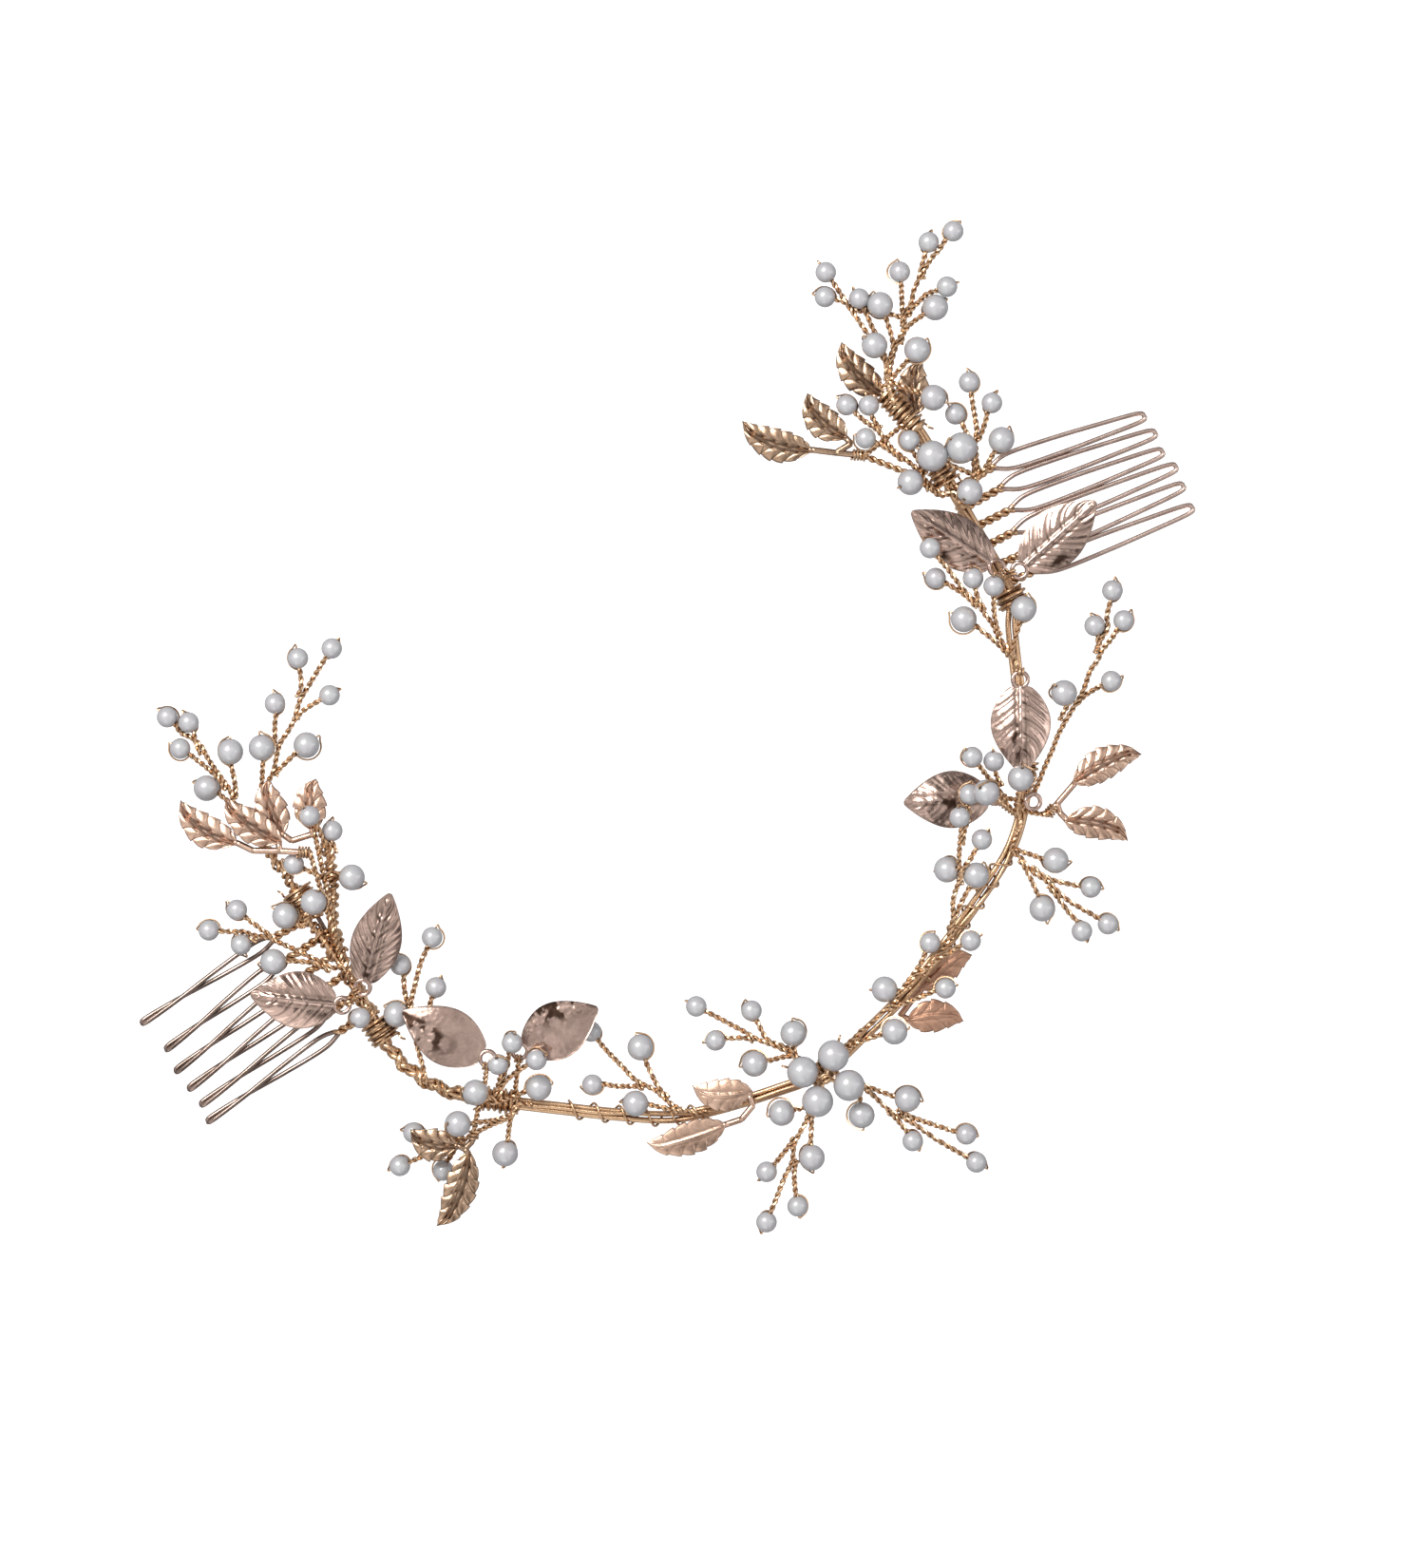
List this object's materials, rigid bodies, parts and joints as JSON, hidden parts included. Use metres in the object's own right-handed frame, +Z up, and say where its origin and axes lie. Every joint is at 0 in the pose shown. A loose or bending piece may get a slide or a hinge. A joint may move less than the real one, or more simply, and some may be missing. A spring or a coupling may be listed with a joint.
{
  "type": "bridal tiara",
  "caption": "Bridal hair vine: a bent wire band with pearl sprays on twisted stems, stamped and cast leaves, and a wire comb at each side.",
  "frame": {"origin": "under the middle of the whole outline, at the height of the table it lies on", "axes": "+X to the right comb, -Y to the front where the big pearls sit, +Z up off the table, out of the pearl side"},
  "size_m": [0.2264, 0.1662, 0.0166],
  "materials": {
    "pearl": "pearlescent white lacquer on round beads",
    "gold_wire": "warm copper-gold wire, twisted",
    "stamped_leaf": "polished rose gold plate with raised veins",
    "cast_leaf": "rose gold plate over deep ribs",
    "comb_wire": "pinkish-brown rose gold wire"
  },
  "bodies": {
    "vine": {"centre_binding": "gold_wire", "centre_cluster_wire": "gold_wire", "centre_left_spray": "pearl", "centre_lower_spray": "pearl", "centre_right_spray": "pearl", "front_left_binding": "gold_wire", "front_left_lower_spray": "pearl", "front_left_pearl_cluster": "pearl", "front_left_spray": "pearl", "front_left_sprig": "cast_leaf", "front_left_wrap_wire": "gold_wire", "front_middle_sprig": "cast_leaf", "left_comb_back_lashing": "gold_wire", "left_comb_front_lashing": "gold_wire", "left_comb_pearl": "pearl", "left_comb_spray": "pearl", "left_crown_back_sprig": "cast_leaf", "left_crown_front_sprig": "cast_leaf", "left_crown_inner_spray": "pearl", "left_crown_outer_spray": "pearl", "left_inner_spray": "pearl", "left_wing_pearl_pair": "pearl", "left_wing_spray": "pearl", "right_arm_binding": "gold_wire", "right_arm_high_spray": "pearl", "right_arm_inner_spray": "pearl", "right_arm_low_spray": "pearl", "right_arm_pearl_cluster": "pearl", "right_arm_sprig": "cast_leaf", "right_arm_wrap_wire": "gold_wire", "right_comb_back_lashing": "gold_wire", "right_comb_front_lashing": "gold_wire", "right_crown_binding": "gold_wire", "right_crown_spray": "pearl", "right_crown_sprig": "cast_leaf", "right_front_spray": "pearl", "right_front_sprig": "cast_leaf", "right_wing_inner_spray": "pearl", "right_wing_inner_twigs": "pearl", "right_wing_outer_spray": "pearl", "right_wing_sprig": "cast_leaf", "right_wing_sprig_wire": "gold_wire", "vine_wire_inner": "gold_wire", "vine_wire_outer": "gold_wire"},
    "left_comb": {"left_comb": "comb_wire"},
    "right_comb": {"right_comb": "comb_wire"},
    "left_comb_inner_leaf": {"left_comb_inner_leaf": "stamped_leaf"},
    "left_comb_outer_leaf": {"left_comb_outer_leaf": "stamped_leaf"},
    "front_left_inner_leaf": {"front_left_inner_leaf": "stamped_leaf"},
    "front_left_outer_leaf": {"front_left_outer_leaf": "stamped_leaf"},
    "right_comb_inner_leaf": {"right_comb_inner_leaf": "stamped_leaf"},
    "right_comb_outer_leaf": {"right_comb_outer_leaf": "stamped_leaf"},
    "right_arm_long_leaf": {"right_arm_long_leaf": "stamped_leaf"},
    "right_arm_wide_leaf": {"right_arm_wide_leaf": "stamped_leaf"},
    "centre_pearl_back_right": {"centre_pearl_back_right": "pearl"},
    "centre_pearl_back_left": {"centre_pearl_back_left": "pearl"},
    "centre_pearl_front_left": {"centre_pearl_front_left": "pearl"},
    "centre_pearl_front_right": {"centre_pearl_front_right": "pearl"}
  },
  "joints": [
    {"name": "left_comb_swivel", "type": "hinge", "parent": "vine", "child": "left_comb", "pos_m": [-0.07335, 0.01651, 0.0013], "axis": [0, -1, 0], "range_deg": [-5, 60]},
    {"name": "right_comb_swivel", "type": "hinge", "parent": "vine", "child": "right_comb", "pos_m": [0.07325, 0.01651, 0.0013], "axis": [0, 1, 0], "range_deg": [-5, 60]},
    {"name": "left_comb_inner_leaf_tilt", "type": "hinge", "parent": "vine", "child": "left_comb_inner_leaf", "pos_m": [-0.07205, 0.00691, 0.0076], "axis": [0.682, -0.7314, 0], "range_deg": [-3, 20]},
    {"name": "left_comb_outer_leaf_tilt", "type": "hinge", "parent": "vine", "child": "left_comb_outer_leaf", "pos_m": [-0.07715, 0.00591, 0.0076], "axis": [0.6018, 0.7986, 0], "range_deg": [-4, 15]},
    {"name": "front_left_inner_leaf_tilt", "type": "hinge", "parent": "vine", "child": "front_left_inner_leaf", "pos_m": [-0.05815, -0.01679, 0.0078], "axis": [0.8572, 0.515, 0], "range_deg": [-2, 15]},
    {"name": "front_left_outer_leaf_tilt", "type": "hinge", "parent": "vine", "child": "front_left_outer_leaf", "pos_m": [-0.05215, -0.01859, 0.0078], "axis": [-0.0175, -0.9998, 0], "range_deg": [-5, 3]},
    {"name": "right_comb_inner_leaf_tilt", "type": "hinge", "parent": "vine", "child": "right_comb_inner_leaf", "pos_m": [0.07275, 0.01571, 0.0076], "axis": [0.891, 0.454, 0], "range_deg": [-4, 3]},
    {"name": "right_comb_outer_leaf_tilt", "type": "hinge", "parent": "vine", "child": "right_comb_outer_leaf", "pos_m": [0.07625, 0.01311, 0.0076], "axis": [0.2079, -0.9781, 0], "range_deg": [-6, 20]},
    {"name": "right_arm_long_leaf_tilt", "type": "hinge", "parent": "vine", "child": "right_arm_long_leaf", "pos_m": [0.06595, -0.00499, 0.0078], "axis": [-0.8746, 0.4848, 0], "range_deg": [-3, 1]},
    {"name": "right_arm_wide_leaf_tilt", "type": "hinge", "parent": "vine", "child": "right_arm_wide_leaf", "pos_m": [0.05075, -0.02199, 0.0048], "axis": [0.4384, 0.8988, 0], "range_deg": [-6, 3]},
    {"name": "centre_pearl_back_right_spin", "type": "hinge", "parent": "vine", "child": "centre_pearl_back_right", "pos_m": [-0.00078, -0.04916, 0.0097], "axis": [0.7431, 0.6691, 0], "continuous": true},
    {"name": "centre_pearl_back_left_spin", "type": "hinge", "parent": "vine", "child": "centre_pearl_back_left", "pos_m": [-0.00739, -0.04893, 0.0097], "axis": [-0.6947, 0.7193, 0], "continuous": true},
    {"name": "centre_pearl_front_left_spin", "type": "hinge", "parent": "vine", "child": "centre_pearl_front_left", "pos_m": [-0.00772, -0.05519, 0.0097], "axis": [-0.766, -0.6428, 0], "continuous": true},
    {"name": "centre_pearl_front_right_spin", "type": "hinge", "parent": "vine", "child": "centre_pearl_front_right", "pos_m": [-0.00101, -0.05554, 0.0097], "axis": [0.6947, -0.7193, 0], "continuous": true}
  ]
}
